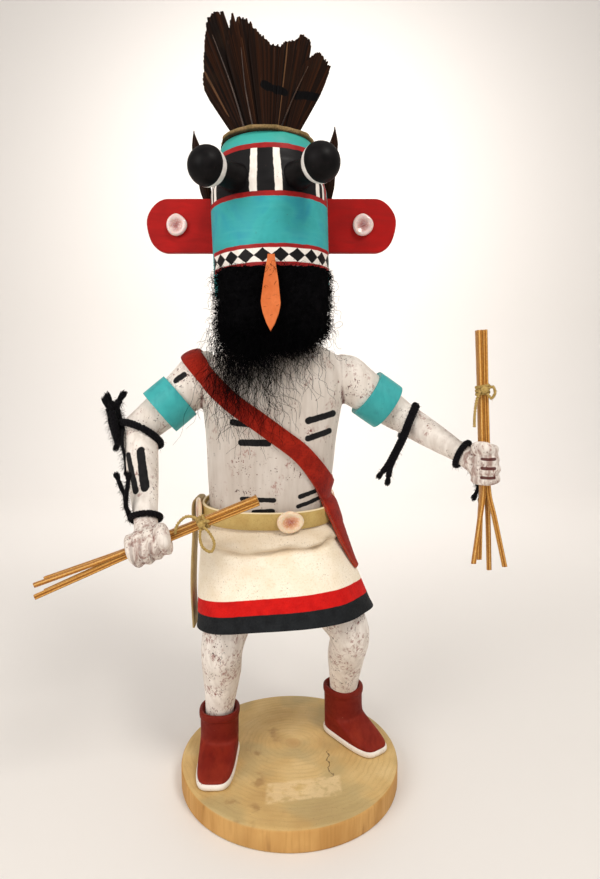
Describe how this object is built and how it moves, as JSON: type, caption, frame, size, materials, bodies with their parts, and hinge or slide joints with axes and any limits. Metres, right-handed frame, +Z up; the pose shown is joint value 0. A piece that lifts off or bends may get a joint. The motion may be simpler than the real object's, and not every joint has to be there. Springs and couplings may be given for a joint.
{
  "type": "kachina doll",
  "caption": "Carved and painted wooden kachina doll with case mask, stalked eyes, feather fan, fur beard, kilt and straw whips, standing on a round wooden base.",
  "frame": {"origin": "centre of the underside of the round wooden base", "axes": "+Z up along the figure's height, the figure faces -Y, its right hand is at -X"},
  "size_m": [0.1707, 0.0967, 0.3202],
  "materials": {
    "base_wood": "bare sanded slice of soft wood with rings and a crack",
    "body_paint": "carved wood, matt off-white paint worn to a brown-red undercoat, dark red boots",
    "mask_paint": "carved wood, matt turquoise, black, white and red paint in bands",
    "black_paint": "turned wood, matt black paint with a white ring",
    "red_paint": "carved wood, satin red paint",
    "turquoise_leather": "thin leather painted turquoise",
    "olive_leather": "thin cream and olive leather with pale cut edges",
    "red_leather": "soft red suede",
    "orange_leather": "thin orange leather",
    "kilt_leather": "thin off-white leather with red and black painted borders",
    "feather": "dark brown feather vanes with darker bars",
    "fur": "black long-haired fur",
    "yarn": "black wool yarn, two plies",
    "string": "tan natural string",
    "straw": "split straw with long fibres",
    "shell": "small sea-shell discs, pink in the middle"
  },
  "bodies": {
    "root": {"base": "base_wood", "carved_body": "body_paint", "case_mask": "mask_paint", "eye_right": "black_paint", "eye_left": "black_paint", "ear_right": "red_paint", "ear_left": "red_paint", "ear_shell_right": "shell", "ear_shell_left": "shell", "crown_leather": "olive_leather", "fan_feather_1": "feather", "fan_feather_2": "feather", "fan_feather_3": "feather", "fan_feather_4": "feather", "fan_feather_5": "feather", "side_feather_right": "feather", "side_feather_left": "feather", "tongue": "orange_leather", "beard": "fur", "bandolier": "red_leather", "belt": "olive_leather", "belt_shell_front": "shell", "belt_shell_left": "shell", "belt_shell_right": "shell", "sash": "olive_leather", "kilt": "kilt_leather", "armband_right": "turquoise_leather", "armband_left": "turquoise_leather", "yarn_elbow_right": "yarn", "yarn_wrist_right": "yarn", "yarn_elbow_left": "yarn", "yarn_wrist_left": "yarn", "whip_right_strip_1": "straw", "whip_right_strip_2": "straw", "whip_right_strip_3": "straw", "whip_right_strip_4": "straw", "whip_left_strip_1": "straw", "whip_left_strip_2": "straw", "whip_left_strip_3": "straw", "whip_left_strip_4": "straw", "whip_tie_right": "string", "whip_tie_left": "string"}
  },
  "joints": []
}
